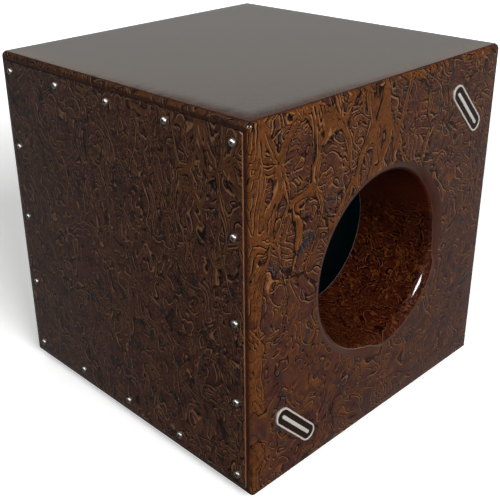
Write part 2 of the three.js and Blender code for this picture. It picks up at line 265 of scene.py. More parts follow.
# Straps follow the borders between random cells. strap_size is the size of a cell, and strap_stretch scales Z
# before the cells are drawn, so that below 1 the straps run up the box. low_width and high_width are how far a
# strap reaches from a border, in cells, low and high on the box, before a noise is added to it.
# curl_size and crumple_size are the coarse and fine contours, and curl_stretch scales Z for both. outline,
# ridge_highlight_share and low_relief are strengths: the straps' dark outlines, the painted highlight on the
# ridges' lit sides, and the painted ridge light and shade low on the box.
BOARD_LEAF = {
    "strap_size": 32 * MM, "strap_stretch": 0.44, "low_width": -0.19, "high_width": -0.04,
    "curl_size": 34 * MM, "crumple_size": 14 * MM, "curl_stretch": 1.0,
    "outline": 0.9, "ridge_highlight_share": 0.65, "low_relief": 0.5,
    "amber": AMBER, "ground": GROUND, "ridge": RIDGE_HIGHLIGHT,
}
TAPA_LEAF = {
    "strap_size": 24 * MM, "strap_stretch": 0.4, "low_width": -0.22, "high_width": -0.13,
    "curl_size": 27 * MM, "crumple_size": 10 * MM, "curl_stretch": 0.7,
    "outline": 0.8, "ridge_highlight_share": 1.0, "low_relief": 0.9,
    "amber": TAPA_AMBER, "ground": TAPA_GROUND, "ridge": TAPA_RIDGE_HIGHLIGHT,
}
# The shifts below set the side from which the painted ridge light falls, on the collage and on the horn.
RIDGE_LIGHT_SHIFT = (0.5 * MM, 0.6 * MM, 0.75 * MM)  # between the two points whose heights are compared
HORN_RIDGE_LIGHT_SHIFT = (0.3 * MM, -0.5 * MM, 0.5 * MM)


def straps(n, point, style, extra_width):
    """How far inside a strap a point is, 0 to 1, how near its outline, 0 to 1, and its lengthwise folds."""
    tall = n.vector("MULTIPLY", n.warped(point, 60 * MM, 12 * MM), (1, 1, style["strap_stretch"]))
    edge = n.edges(tall, style["strap_size"])
    width = by_height(n, point, 0.46, 0.86, style["low_width"], style["high_width"])
    width = n.math("ADD", n.math("MULTIPLY_ADD", n.noise(point, 34 * MM, 1), 0.3, width), extra_width)
    ragged = n.math("MULTIPLY_ADD", n.noise(point, 8 * MM, 1), 0.10, -0.05)
    reach = n.math("SUBTRACT", n.math("ADD", width, ragged), edge)
    outline = n.step(n.math("ABSOLUTE", n.math("ADD", reach, 0.014)), 0.032, 0.0)
    fold = n.math("MULTIPLY", n.noise(tall, 26 * MM, 2, 0.55, 1.4), 3.0)
    return n.step(reach, -0.01, 0.014), outline, n.math("FRACT", n.math("MULTIPLY_ADD", edge, 9.0, fold))


def curls(n, point, size, detail, roughness, count):
    """Contour bands of a distorted noise: 0 to 1 across each band."""
    distortion = 1.2
    return n.math("FRACT", n.math("MULTIPLY", n.noise(point, size, detail, roughness, distortion), count))


def leaf_lines(n, point, style, extra_width):
    """The pattern's parts at a point, and the leaf's height there, from 0 to 1."""
    strap, outline, fold = straps(n, point, style, extra_width)
    long = n.vector("MULTIPLY", point, (1, 1, style["curl_stretch"]))
    curl = curls(n, long, style["curl_size"], 1.6, 0.5, 6)
    crumple = curls(n, long, style["crumple_size"], 2, 0.55, 5)
    ground = n.math("MULTIPLY", n.groove(curl, 0.16), n.groove(crumple, 0.2, 0.55))
    ground = n.math("MULTIPLY", ground, 0.8)
    height = n.add("ShaderNodeMix", 0, {0: strap, 2: ground, 3: n.groove(fold, 0.2, 0.4)}, data_type="FLOAT")
    return {"strap": strap, "outline": outline, "fold": fold, "curl": curl, "height": height}


def painted_ridge_light_and_shade(n, colour, rise, light, highlight_share, dark, shade_share):
    """Painted light on the relief: a painted highlight on one side of each ridge and painted shade on the
    other.
    Rise is above 0 on the lit side.
    """
    colour = n.mix(n.step(rise, 0.05, 0.5, 0, highlight_share), colour, light)
    fall = n.math("MULTIPLY", rise, -1.0)
    return n.mix(n.step(fall, 0.04, 0.4, 0, shade_share), colour, dark)


def ground_colour(n, point, style, curl, amber):
    """The dark ground, with amber veins along some curls, slate patches, creases and pale flecks."""
    colour = n.ramp(n.noise(point, 24 * MM, 2, 0.5, 0.8), style["ground"])
    vein = n.math("MULTIPLY", n.step(curl, 0.52, 0.6), n.step(curl, 0.86, 0.78, 0, 0.85))
    veined = n.step(n.noise(point, 40 * MM, 1), 0.42, 0.52)
    colour = n.mix(n.math("MULTIPLY", vein, veined), colour, amber)
    patch = n.step(n.noise(point, 20 * MM, 1, 0.5, 1.5), 0.63, 0.66)
    colour = n.mix(patch, colour, SLATE)
    colour = n.mix(n.inverse(n.groove(curl, 0.1, 0.25)), colour, CREASE)
    speck = n.step(n.noise(point, 3 * MM, 1, 0.6), 0.7, 0.76)
    specked = by_height(n, point, 0.35, 0.7, 0.1, 0.55)
    return n.mix(n.math("MULTIPLY", speck, specked), colour, FLECK)


def strap_colour(n, point, fold, amber):
    """An amber strap with dark lengthwise folds and dark grain."""
    colour = n.mix(n.inverse(n.groove(fold, 0.14, 0.4)), amber, CREASE)
    grain = n.step(n.noise(point, 2.5 * MM, 2), 0.52, 0.66, 0, 0.55)
    return n.mix(grain, colour, CREASE)


def leaf_collage(n, point, style, extra_width=0.0):
    """Colour of the collage, with painted light and shade on its ridges, and its height."""
    here = leaf_lines(n, point, style, extra_width)
    beside = leaf_lines(n, n.vector("ADD", point, RIDGE_LIGHT_SHIFT), style, extra_width)
    amber = n.ramp(n.noise(point, 16 * MM, 3, 0.6), style["amber"])
    ground = ground_colour(n, point, style, here["curl"], amber)
    colour = n.mix(here["strap"], ground, strap_colour(n, point, here["fold"], amber))
    colour = n.mix(n.math("MULTIPLY", here["outline"], style["outline"]), colour, CREASE)
    rise = n.math("SUBTRACT", here["height"], beside["height"])
    rise = n.math("MULTIPLY", rise, by_height(n, point, 0.3, 0.85, style["low_relief"], 1.0))
    # Painted highlight on one side of each ridge and painted shade, in the crease colour, on the other.
    colour = painted_ridge_light_and_shade(n, colour, rise, style["ridge"], style["ridge_highlight_share"], CREASE, 0.95)
    return colour, here["height"]


def horn_lines(n, point):
    """Height of the horn's flakes, 0 in the creases between them to 1."""
    long = n.vector("MULTIPLY", point, (0.7, 1, 1))
    curl = curls(n, long, 25 * MM, 2, 0.55, 6)
    crumple = curls(n, long, 13 * MM, 1.5, 0.5, 4)
    return n.math("MULTIPLY", n.groove(curl, 0.14), n.groove(crumple, 0.16, 0.5))


def horn_colour(n, point):
    """Deep red-brown, streaked along the horn, with curled flakes low down that get painted light and shade on
    their ridges; and the flakes' height.
    """
    height = horn_lines(n, point)
    beside = horn_lines(n, n.vector("ADD", point, HORN_RIDGE_LIGHT_SHIFT))
    streak = n.noise(n.vector("MULTIPLY", point, (0.12, 1, 1)), 4 * MM, 3, 0.6)
    plain = n.mix(streak, srgb(74, 24, 14), srgb(116, 46, 22))
    flaked = n.mix(height, HORN_CREASE, n.ramp(n.noise(point, 10 * MM, 1, 0.5, 1.5), HORN_FLAKE))
    rise = n.math("SUBTRACT", height, beside)
    # Painted highlight and painted shade on the flakes' ridges.
    flaked = painted_ridge_light_and_shade(n, flaked, rise, HORN_RIDGE_HIGHLIGHT, 0.6, HORN_SHADE, 0.9)
    _, y, z = n.parts(n.vector("SUBTRACT", point, tuple(MIDDLE)))
    low = n.step(n.math("SUBTRACT", z, n.math("MULTIPLY", y, 0.5)), 30 * MM, -40 * MM)
    patchy = n.step(n.noise(point, 50 * MM, 2), 0.18, 0.34)
    shown = n.math("MULTIPLY", low, patchy)
    return n.mix(shown, plain, flaked), n.math("MULTIPLY", shown, height)


def lacquer(shader, coat_roughness, base_roughness):
    """A clear gloss coat over a duller layer."""
    shader.inputs["Roughness"].default_value = base_roughness
    shader.inputs["Specular IOR Level"].default_value = 0.05
    shader.inputs["Coat Weight"].default_value = 1.0
    shader.inputs["Coat Roughness"].default_value = coat_roughness
    shader.inputs["Coat IOR"].default_value = 1.5


def edge_strip(n, point, colour):
    """The dark plain strip on the box's rounded edges, a darker frame round the tapa, and painted shade that
    darkens the seat's top.
    """
    depth = edge_distance(n, point)
    streak = n.noise(n.vector("MULTIPLY", point, (1, 1, 0.15)), 5 * MM, 3, 0.6)
    rounding = n.mix(streak, EDGE_DARK, EDGE_LIGHT)
    uneven = n.math("MULTIPLY_ADD", n.noise(point, 12 * MM), -3 * MM, depth)
    _, y, z = n.parts(point)
    frame_face = n.step(y, -HALF + 2 * MM, -HALF + 0.5 * MM, 0, 0.75)
    # Painted shade: the seat's top is darkened away from its edges.
    shade = n.mix(n.step(depth, 8 * MM, 26 * MM), rounding, SEAT_PAINTED_SHADE)
    seat = n.step(z, seat_high.z - 2.2 * MM, seat_high.z - 1.4 * MM, 0, 0.82)
    colour = n.mix(seat, colour, shade)
    colour = n.mix(n.step(uneven, -1.2 * MM, 0.2 * MM), rounding, colour)
    return n.mix(frame_face, colour, rounding)


def mouth_finish(n, point, colour):
    """The lip: plain over its outer part, with a painted highlight line where the wrap ends and the horn's
    colour inside.
    Low on the right the horn's colour comes right up to the face."""
    x, y, z = n.parts(n.vector("SUBTRACT", point, tuple(MIDDLE)))
    radius = hypotenuse(n, y, z)
    plain = n.mix(n.noise(point, 30 * MM, 2), LIP_DARK, LIP_LIGHT)
    ragged = n.math("MULTIPLY_ADD", n.noise(point, 22 * MM, 2), -8 * MM, radius)
    colour = n.mix(n.step(ragged, MOUTH_RADIUS - 7 * MM, MOUTH_RADIUS - 3 * MM), plain, colour)
    waver = n.math("MULTIPLY_ADD", n.noise(point, 18 * MM, 3, 0.6), 40 * MM, -20 * MM)
    corner = n.math("MULTIPLY", n.step(n.math("ADD", z, waver), 2 * MM, -48 * MM),
                    n.step(n.math("ADD", y, waver), -30 * MM, 14 * MM))
    start = n.math("MULTIPLY", n.step(y, -50 * MM, 50 * MM, 3.6 * MM, 5.4 * MM), n.inverse(corner))
    depth = n.math("SUBTRACT", n.math("SUBTRACT", HALF, x), start)
    on_lip = n.step(radius, MOUTH_RADIUS + 0.2 * MM, MOUTH_RADIUS - 0.4 * MM)
    # Painted highlight: a thin light line at the lip's edge, stronger towards the tapa's side.
    line = n.step(n.math("ABSOLUTE", depth), 0.5 * MM, 0.2 * MM)
    line = n.math("MULTIPLY", line, n.step(y, -60 * MM, 20 * MM, 0.6, 0.15))
    gloss_colour, _ = horn_colour(n, point)
    colour = n.mix(n.math("MULTIPLY", on_lip, n.step(depth, -0.3 * MM, 0.3 * MM)), colour, gloss_colour)
    return n.mix(n.math("MULTIPLY", on_lip, line), colour, LIP_EDGE_HIGHLIGHT)


def tapa_edge(n, point, colour):
    """The tapa's eased edge: painted shade on three sides and a painted highlight on the port's side."""
    x, _, z = n.parts(n.vector("SUBTRACT", point, tuple(MIDDLE)))
    half = (tapa_high.x - tapa_low.x) / 2
    inset = n.math("SUBTRACT", half, n.math("MAXIMUM", n.math("ABSOLUTE", x), n.math("ABSOLUTE", z)))
    # Painted shade in the crease colour, and a painted highlight on the port's side.
    edge = n.mix(n.step(x, half - 1.6 * MM, half - 1.2 * MM), CREASE, TAPA_EDGE_HIGHLIGHT)
    return n.mix(n.step(inset, 1.3 * MM, 0.5 * MM, 0, 0.7), colour, edge)


def lacquer_wrap(n, shader, point, colour, height):
    """The coloured leaf's relief, under a coat that swells gently and follows a little of it."""
    n.feed(shader.inputs["Base Color"], colour)
    n.feed(shader.inputs["Normal"], bump(n, height, 0.25 * MM, 0.5))
    swell = n.noise(n.vector("MULTIPLY", point, (1, 0.4, 1)), 26 * MM, 2, 0.5)
    relief = n.math("MULTIPLY_ADD", height, 0.05, swell)
    n.feed(shader.inputs["Coat Normal"], bump(n, relief, 0.5 * MM, 0.5))
    lacquer(shader, 0.08, 0.45)


def board_material():
    """The boards' collage."""
    material, n, shader = new_material("leaf_wrap")
    point = n.point()
    colour, height = leaf_collage(n, point, BOARD_LEAF)
    lacquer_wrap(n, shader, point, edge_strip(n, point, colour), height)
    return material


def port_material():
    """The boards' collage with the lip's finish: more amber at the tapa's edge, and painted shade in slate
    that grows towards the other.
    """
    material, n, shader = new_material("leaf_wrap_port")
    point = n.point()
    _, y, _ = n.parts(point)
    near_tapa = n.step(y, -HALF + 24 * MM, -HALF + 8 * MM, 0, 0.3)
    wider = n.math("ADD", near_tapa, n.step(y, -0.1 * BODY, 0.4 * BODY, 0, -0.12))
    colour, height = leaf_collage(n, point, BOARD_LEAF, wider)
    colour = edge_strip(n, point, colour)
    # Painted shade: slate washed over the face, growing towards the edge away from the tapa.
    colour = n.mix(n.step(y, -0.2 * BODY, HALF, 0, 0.2), colour, SLATE)
    lacquer_wrap(n, shader, point, mouth_finish(n, point, colour), height)
    return material


def tapa_material():
    """The tapa's finer collage: more amber at the port's side, and painted shade in slate that grows towards
    the other.
    """
    material, n, shader = new_material("leaf_wrap_tapa")
    point = n.point()
    x, _, _ = n.parts(point)
    colour, height = leaf_collage(n, point, TAPA_LEAF, n.step(x, -0.2 * BODY, HALF, -0.06, 0.09))
    # Painted shade: slate washed over the tapa, growing towards the side away from the port.
    colour = n.mix(n.step(x, 0.2 * BODY, -HALF, 0, 0.3), colour, SLATE)
    lacquer_wrap(n, shader, point, tapa_edge(n, point, colour), height)
    return material


def horn_material():
    """The horn's gloss, with a bare rim at the throat."""
    material, n, shader = new_material("horn_gloss")
    point = n.point()
    colour, flakes = horn_colour(n, point)
    x = n.parts(point)[0]
    rim = n.step(x, THROAT_X + 1.6 * MM, THROAT_X + 0.8 * MM)
    n.feed(shader.inputs["Base Color"], n.mix(rim, colour, srgb(150, 146, 136)))
    n.feed(shader.inputs["Normal"], bump(n, flakes, 0.15 * MM, 0.4))
    lacquer(shader, 0.05, 0.4)
    return material


def chamber_material():
    """Dark blue-green paint inside the box, with brush streaks."""
    material, n, shader = new_material("chamber_paint")
    point = n.point()
    streak = n.noise(n.vector("MULTIPLY", point, (1, 0.1, 1)), 4 * MM, 3)
    n.feed(shader.inputs["Base Color"], n.mix(streak, srgb(14, 40, 47), srgb(26, 61, 70)))
    n.feed(shader.inputs["Normal"], bump(n, streak, 0.1 * MM, 0.5))
    shader.inputs["Roughness"].default_value = 0.6
    return material


def plywood_material():
    """Softwood grain along X with growth lines."""
    material, n, shader = new_material("bare_wood")
    point = n.point()
    grain = n.noise(n.vector("MULTIPLY", point, (0.06, 1, 1)), 2.2 * MM, 4, 0.65)
    ring = n.noise(n.vector("MULTIPLY", point, (0.12, 1, 1)), 14 * MM, 2)
    wood = n.mix(grain, srgb(120, 88, 54), srgb(184, 146, 100))
    n.feed(shader.inputs["Base Color"], n.mix(n.step(ring, 0.45, 0.6, 0, 0.4), wood, srgb(128, 88, 50)))
    n.feed(shader.inputs["Roughness"], n.step(grain, 0.3, 0.7, 0.55, 0.75))
    n.feed(shader.inputs["Normal"], bump(n, grain, 0.12 * MM, 0.6))
    return material


def metal_material(name, dark, light, roughness, grain_size, relief, metallic=1.0):
    """Metal with fine scratches and a slightly uneven gloss, from two greys; less metallic looks satin."""
    material, n, shader = new_material(name)
    point = n.point()
    scratch = n.noise(n.vector("MULTIPLY", point, (1, 0.25, 1)), grain_size, 3, 0.6)
    n.feed(shader.inputs["Base Color"], n.mix(scratch, srgb(*dark), srgb(*light)))
    n.feed(shader.inputs["Roughness"], n.step(scratch, 0.3, 0.7, roughness * 0.7, roughness * 1.4))
    n.feed(shader.inputs["Normal"], bump(n, scratch, relief, 0.4))
    shader.inputs["Metallic"].default_value = metallic
    return material


def enamel_material():
    """Dark brown enamel in the badges' sunk field."""
    material, n, shader = new_material("badge_enamel")
    point = n.point()
    cloud = n.noise(point, 3 * MM, 3)
    n.feed(shader.inputs["Base Color"], n.mix(cloud, srgb(26, 14, 10), srgb(44, 25, 17)))
    n.feed(shader.inputs["Normal"], bump(n, cloud, 0.05 * MM, 0.4))
    lacquer(shader, 0.1, 0.4)
    return material


def rubber_material():
    """Black rubber, faintly specked."""
    material, n, shader = new_material("foot_rubber_black")
    point = n.point()
    speck = n.noise(point, 0.8 * MM, 2, 0.7)
    n.feed(shader.inputs["Base Color"], n.mix(speck, srgb(16, 16, 16), srgb(36, 35, 34)))
    n.feed(shader.inputs["Roughness"], n.step(speck, 0.3, 0.7, 0.7, 0.9))
    n.feed(shader.inputs["Normal"], bump(n, speck, 0.1 * MM, 0.6))
    return material


wrap = board_material()
port_wrap = port_material()
tapa_wrap = tapa_material()
horn_gloss = horn_material()
chamber_paint = chamber_material()
bare_wood = plywood_material()
screw_nickel = metal_material("screw_nickel", (150, 148, 144), (206, 204, 200), 0.36, 0.5 * MM, 0.02 * MM)
# The recess's dark greys are painted shade in the cross recess.
screw_shade = metal_material("screw_recess_shade", (26, 22, 20), (48, 42, 38), 0.5, 0.5 * MM, 0.02 * MM)
snare_wire = metal_material("snare_wire", (140, 140, 140), (196, 196, 194), 0.3, 0.6 * MM, 0.03 * MM)
badge_polish = metal_material("badge_polish", (206, 204, 198), (234, 232, 226), 0.4, 1.2 * MM, 0.01 * MM, 0.4)
badge_field = enamel_material()
foot_rubber = rubber_material()


# ---- Mesh helpers ----

def smooth(mesh):
    """Shades a mesh smooth except across its sharp edges."""
    mesh.shade_smooth()
    mesh.set_sharp_from_angle(angle=SHARP_ANGLE)


def finished(name, bm, materials):
    """A mesh object from a bmesh, which is freed."""
    mesh = bpy.data.meshes.new(name)
    bmesh.ops.recalc_face_normals(bm, faces=bm.faces[:])
    bm.to_mesh(mesh)
    bm.free()
    for material in materials:
        mesh.materials.append(material)
    smooth(mesh)
    piece = bpy.data.objects.new(name, mesh)
    bpy.context.scene.collection.objects.link(piece)
    return piece


def weigh_normals(piece):
    """Keeps big flat faces flat beside their rounded edges."""
    modifier = piece.modifiers.new("weighted_normals", "WEIGHTED_NORMAL")
    modifier.keep_sharp = True
    modifier.weight = 50
    return piece


def bake_modifiers(piece):
    """Applies a piece's modifiers to its mesh."""
    graph = bpy.context.evaluated_depsgraph_get()
    mesh = bpy.data.meshes.new_from_object(piece.evaluated_get(graph))
    piece.modifiers.clear()
    piece.data = mesh
    return piece


def place(piece, node):
    """Makes a piece stand in for a CAD node on the only body."""
    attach(piece, "root")
    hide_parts(node)


def turned(profile, steps=ROUND_STEPS, closed=False):
    """A bmesh turned about Z from (radius, height) points; points of radius 0 close on the axis."""
    bm = bmesh.new()
    rings = []
    for radius, height in profile:
        if radius == 0:
            rings.append([bm.verts.new((0, 0, height))])
            continue
        angles = (2 * math.pi * step / steps for step in range(steps))
        rings.append([bm.verts.new((radius * math.cos(a), radius * math.sin(a), height)) for a in angles])
    pairs = list(zip(rings, rings[1:]))
    if closed:
        pairs.append((rings[-1], rings[0]))
    for low, high in pairs:
        for step in range(steps):
            after = (step + 1) % steps
            corners = [ring[index % len(ring)] for ring, index in
                       ((low, step), (low, after), (high, after), (high, step))]
            bm.faces.new(list(dict.fromkeys(corners)))
    return bm


def bridge(bm, rings):
    """Joins rings with the same number of verts and closes both ends. Returns the last ring's face."""
    for below, above in zip(rings, rings[1:]):
        for index in range(len(below)):
            after = (index + 1) % len(below)
            bm.faces.new((below[index], below[after], above[after], above[index]))
    bm.faces.new(rings[0])
    return bm.faces.new(rings[-1])


def about_port(bm):
    """Turns a bmesh made about Z so that its Z lies along the port's axis and heights are x."""
    bmesh.ops.rotate(bm, verts=bm.verts[:], cent=(0, 0, 0), matrix=Matrix.Rotation(math.pi / 2, 3, "Y"))
    bmesh.ops.translate(bm, verts=bm.verts[:], vec=MIDDLE)
    return bm


# ---- The box's boards ----

def slice_mesh(bm, axis, position, clear=0):
    """Cuts a bmesh across an axis. Clear 1 or -1 drops what lies beyond the cut on that side."""
    normal = Vector((0, 0, 0))
    normal[axis] = clear or 1
    spot = Vector((0, 0, 0))
    spot[axis] = position
    return bmesh.ops.bisect_plane(bm, geom=bm.verts[:] + bm.edges[:] + bm.faces[:], plane_co=spot,
                                  plane_no=normal, clear_outer=bool(clear))["geom_cut"]


def fall_away(corner):
    """Sanded edges: moves a surface point inwards, more so near the box's other edges."""
    near = [max(0.0, 1 - (HALF - abs(value)) / FALL_REACH) for value in corner]
    for axis in range(3):
        if abs(corner[axis]) > HALF - EDGE_RADIUS:
            others = max(near[(axis + 1) % 3], near[(axis + 2) % 3])
            corner[axis] -= math.copysign(FALL_DEPTH * others ** 2, corner[axis])


def rounded_cube():
    """The whole box's outside."""
    bm = bmesh.new()
    bmesh.ops.create_cube(bm, size=BODY)
    bmesh.ops.bevel(bm, geom=bm.edges[:], offset=EDGE_RADIUS, segments=EDGE_STEPS, profile=0.5,
                    affect="EDGES", clamp_overlap=False)
    for axis in range(3):
        for inset in FALL_SLICES:
            for side in (1, -1):
                slice_mesh(bm, axis, side * (HALF - inset * FALL_REACH))
    for vert in bm.verts:
        fall_away(vert.co)
    bmesh.ops.translate(bm, verts=bm.verts[:], vec=MIDDLE)
    return bm


def cut_board(low, high):
    """The rounded cube's part between two corners, in the middle's frame. Cut faces get the inner paint."""
    bm = rounded_cube()
    for axis in range(3):
        for corner, sign in ((low, -1), (high, 1)):
            if abs(corner[axis]) >= HALF:
                continue
            cut = slice_mesh(bm, axis, MIDDLE[axis] + corner[axis], sign)
            loop = [item for item in cut if isinstance(item, bmesh.types.BMEdge)]
            for face in bmesh.ops.edgeloop_fill(bm, edges=loop)["faces"]:
                face.material_index = 1
    return bm


def plain_board(name, low, high, node):
    board = finished(name, cut_board(low, high), [wrap, chamber_paint])
    place(bake_modifiers(weigh_normals(board)), node)


def lip_profile():
    """The mouth's rounding as (radius, x), from the face inwards to where it meets the horn's slope."""
    centre_x = HALF - LIP_RADIUS
    slope = math.atan2(HORN_RADIUS - THROAT_RADIUS, centre_x - THROAT_X)
    points = []
    for step in range(LIP_STEPS + 1):
        angle = (math.pi / 2 - slope) * step / LIP_STEPS
        points.append((MOUTH_RADIUS - LIP_RADIUS * math.sin(angle), centre_x + LIP_RADIUS * math.cos(angle)))
    return points


def wall_radius(x):
    """The horn's inner radius at a place along the port's axis."""
    radius, start = lip_profile()[-1]
    return THROAT_RADIUS + (radius - THROAT_RADIUS) * (x - THROAT_X) / (start - THROAT_X)


def mouth_cutter():
    """The opening's solid, from behind the throat to past the face."""
    lip = lip_profile()
    past = HALF + 4 * MM
    wall = (wall_radius(THROAT_X), THROAT_X)
    profile = [(0, THROAT_X), wall, *reversed(lip), (lip[0][0], past), (0, past)]
    return about_port(turned(profile))


def boolean(piece, other, operation):
    """Applies a boolean; the cut faces keep the other piece's material."""
    modifier = piece.modifiers.new(operation, "BOOLEAN")
    modifier.operation = operation
    modifier.object = other
    modifier.solver = "EXACT"
    modifier.material_mode = "TRANSFER"
    bake_modifiers(piece)
    bpy.data.objects.remove(other)


def port_side():
    """The port's board with the whole lip, which reaches back into the ring as far as the horn."""
    board = finished("port_side_panel", cut_board((INNER, -HALF, -INNER), (HALF, HALF, INNER)),
                     [port_wrap, chamber_paint])
    outer = HORN_OUTER + SLACK
    front = HALF - BOARD / 2
    collar = [(THROAT_RADIUS, HORN_FRONT_X), (outer, HORN_FRONT_X), (outer, front), (THROAT_RADIUS, front)]
    boolean(board, finished("collar", about_port(turned(collar, closed=True)), [port_wrap]), "UNION")
    boolean(board, finished("mouth", mouth_cutter(), [port_wrap]), "DIFFERENCE")
    smooth(board.data)
    place(bake_modifiers(weigh_normals(board)), "port_side_board")


def make_boards():
    plain_board("seat_panel", (-HALF, -HALF, INNER), (HALF, HALF, HALF), "seat_board")
    plain_board("base_panel", (-HALF, -HALF, -HALF), (HALF, HALF, -INNER), "base_board")
    plain_board("left_side_panel", (-HALF, -HALF, -INNER), (-INNER, HALF, INNER), "left_side_board")
    plain_board("rear_panel", (-INNER, INNER, -INNER), (INNER, HALF, INNER), "rear_board")
    port_side()


# ---- Port ----

def make_horn():
    """The tapered tube with a rounded throat rim."""
    rim = 1.2 * MM
    rim_steps = 8
    front = HORN_FRONT_X
    inner = [(wall_radius(x), x) for x in (front, THROAT_X + rim)]
    arc = []
    middle = THROAT_RADIUS + HORN_WALL / 2
    for step in range(rim_steps + 1):
        angle = math.pi * step / rim_steps
        arc.append((middle - HORN_WALL / 2 * math.cos(angle), THROAT_X + rim - rim * math.sin(angle)))
    profile = [inner[0], *arc, (HORN_OUTER - SLACK, RING_BACK_X), (HORN_OUTER - SLACK, front)]
    horn = finished("flared_port_horn", about_port(turned(profile, closed=True)), [horn_gloss])
    place(horn, "port_horn")


def make_ring():
    """The reinforcing ring, drawn back from the lip that the port's board carries."""
    seat = HORN_OUTER + 2 * SLACK
    chamfer = 1.5 * MM
    profile = [
        (seat, INNER - SLACK),
        (RING_RADIUS, INNER - SLACK),
        (RING_RADIUS, RING_BACK_X + chamfer),
        (RING_RADIUS - chamfer, RING_BACK_X),
        (seat, RING_BACK_X),
    ]
    ring = finished("port_ring", about_port(turned(profile, closed=True)), [bare_wood])
    place(ring, "port_reinforcing_ring")


# ---- Tapa and screws ----

def rounded_outline(half, radius, steps):
    """A square with round corners, as (x, z) about its middle."""
    points = []
    centre = half - radius
    for turn, (x, z) in enumerate([(1, 1), (-1, 1), (-1, -1), (1, -1)]):
        for step in range(steps + 1):
            angle = math.pi / 2 * (turn + step / steps)
            points.append((x * centre + radius * math.cos(angle), z * centre + radius * math.sin(angle)))
    return points


def make_tapa():
    """The playing panel, with eased front edges."""
    half = (tapa_high.x - tapa_low.x) / 2
    corner = 3.5 * MM
    corner_steps = 8
    ease = 1.2 * MM
    ease_steps = 4
    levels = [(half, tapa_high.y)]
    for step in range(ease_steps + 1):
        angle = math.pi / 2 * step / ease_steps
        levels.append((half - ease * (1 - math.cos(angle)), tapa_low.y + ease * (1 - math.sin(angle))))
    bm = bmesh.new()
    rings = []
    for size, y in levels:
        outline = rounded_outline(size, corner - (half - size), corner_steps)
        rings.append([bm.verts.new((x, y, MIDDLE.z + z)) for x, z in outline])
    bridge(bm, rings)
    bmesh.ops.remove_doubles(bm, verts=bm.verts[:], dist=1e-6)
    tapa = finished("playing_panel", bm, [tapa_wrap])
    place(bake_modifiers(weigh_normals(tapa)), "front_tapa")


SHANK_RADIUS = 1.6 * MM
HEAD_RADIUS = 3.75 * MM
HEAD_HEIGHT = 2.3 * MM
HEAD_SIDE = 0.7 * MM  # height of the head's straight side
HEAD_STEPS = 8
HEAD_FACETS = 40
DOME_POWER = 0.55  # of the cosine in the dome's radius: below 1 the dome is squarer than an ellipse
SCREW_KINDS = {  # start of the CAD node's name: start of the piece's name, and the axis and sign it faces
    "tapa_screw": ("tapa_fastener", (1, -1)),
    "foot_screw": ("foot_fastener", (2, -1)),
    "snare_plate_screw": ("plate_fastener", (1, -1)),
    "snare_bar_screw": ("bar_fastener", (1, 1)),
}


def cross_arm(turn):
    """One arm of the cross recess: a slot that narrows inwards, turned about Z, whose faces carry the recess's
    painted shade.
    """
    arm = bmesh.new()
    bmesh.ops.create_cone(arm, cap_ends=True, segments=4, radius1=0.5 * MM, radius2=1.6 * MM, depth=2 * MM)
    verts = arm.verts[:]
    bmesh.ops.rotate(arm, verts=verts, cent=(0, 0, 0), matrix=Matrix.Rotation(math.pi / 4, 3, "Z"))
    bmesh.ops.scale(arm, verts=verts, vec=(2.1, 0.6, 1.0))
    bmesh.ops.rotate(arm, verts=verts, cent=(0, 0, 0), matrix=Matrix.Rotation(turn, 3, "Z"))
    bmesh.ops.translate(arm, verts=verts, vec=(0, 0, 1.75 * MM))
    return finished("cross_arm", arm, [screw_shade])


def screw_head(name):
    """A pan head about Z with a cross recess: its seat is at z = 0 and its dome above."""
    profile = [
        (0, -1 * MM),
        (SHANK_RADIUS, -1 * MM),
        (SHANK_RADIUS, 0),
        (HEAD_RADIUS - 0.1 * MM, 0),
        (HEAD_RADIUS, 0.15 * MM),
        (HEAD_RADIUS, HEAD_SIDE),
    ]
    for step in range(1, HEAD_STEPS + 1):
        angle = math.pi / 2 * step / HEAD_STEPS
        radius = HEAD_RADIUS * math.cos(angle) ** DOME_POWER if step < HEAD_STEPS else 0
        profile.append((radius, HEAD_SIDE + (HEAD_HEIGHT - HEAD_SIDE) * math.sin(angle)))
    head = finished(name, turned(profile, HEAD_FACETS), [screw_nickel])
    for turn in (0, math.pi / 2):
        boolean(head, cross_arm(turn), "DIFFERENCE")
    smooth(head.data)
    return head


def place_screw(master, name, node, looks):
    """A copy of the screw head on a CAD screw: looks is the axis and sign that the head faces."""
    low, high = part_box(node)
    axis, sign = looks
    spot = (low + high) / 2
    spot[axis] = (high if sign > 0 else low)[axis] - sign * HEAD_HEIGHT
    normal = Vector((0, 0, 0))
    normal[axis] = sign
    piece = bpy.data.objects.new(name, master.data.copy())
    bpy.context.scene.collection.objects.link(piece)
    spin = Matrix.Rotation(random.uniform(0, math.pi), 4, "Z")
    face = normal.to_track_quat("Z", "X").to_matrix().to_4x4()
    piece.data.transform(Matrix.Translation(spot) @ face @ spin)
    place(piece, node)


def make_screws():
    master = screw_head("screw_master")
    for node in sorted(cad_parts):
        for start, (piece_start, looks) in SCREW_KINDS.items():
            if node.startswith(start):
                place_screw(master, node.replace(start, piece_start), node, looks)
    bpy.data.objects.remove(master)


# ---- Feet ----

FOOT_STEPS = 72
HOLE_RADIUS = 2.2 * MM
BORE_RADIUS = 5.0 * MM
BORE_DEPTH = 2.8 * MM


